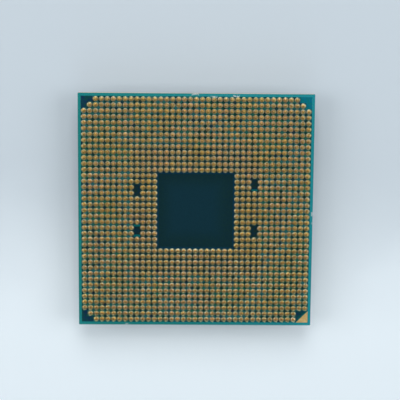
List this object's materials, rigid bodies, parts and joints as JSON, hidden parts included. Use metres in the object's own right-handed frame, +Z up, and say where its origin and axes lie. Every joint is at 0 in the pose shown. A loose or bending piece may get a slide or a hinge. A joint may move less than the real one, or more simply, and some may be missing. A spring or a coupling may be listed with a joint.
{
  "type": "cpu chip",
  "caption": "Square processor package: a laminate board with a field of gold contact pins, a bare middle and a marked corner, over a stepped metal heat spreader.",
  "frame": {"origin": "middle of the heat spreader's bare outer face, on which the part lies", "axes": "+Z up through the board to the pin ends, +X along the rows of pins towards the marked corner's side, +Y along the columns away from the marked corner"},
  "size_m": [0.04, 0.04, 0.0061],
  "materials": {
    "board": "satin solder mask, teal over a bare edge and dark over copper",
    "gold": "satin gold plate",
    "pin_solder": "satin, pale gold",
    "pin_gold": "satin gold plate",
    "nickel": "satin nickel plate, bare",
    "sealant": "matte silicone",
    "silicon": "polished",
    "resin": "cured resin",
    "soft_solder": "dull soft metal",
    "capacitor_ceramic": "fired ceramic",
    "tin": "tin plate"
  },
  "bodies": {
    "root": {"substrate": "board", "pin_side_mark": "gold", "lid_side_mark": "gold", "feet_back": "pin_solder", "feet_right": "pin_solder", "feet_front": "pin_solder", "feet_left": "pin_solder", "pins_back": "pin_gold", "pins_right": "pin_gold", "pins_front": "pin_gold", "pins_left": "pin_gold", "heat_spreader": "nickel", "lid_seal": "sealant", "processor_die": "silicon", "underfill": "resin", "die_solder": "soft_solder", "capacitor_bodies": "capacitor_ceramic", "capacitor_ends": "tin"}
  },
  "joints": []
}
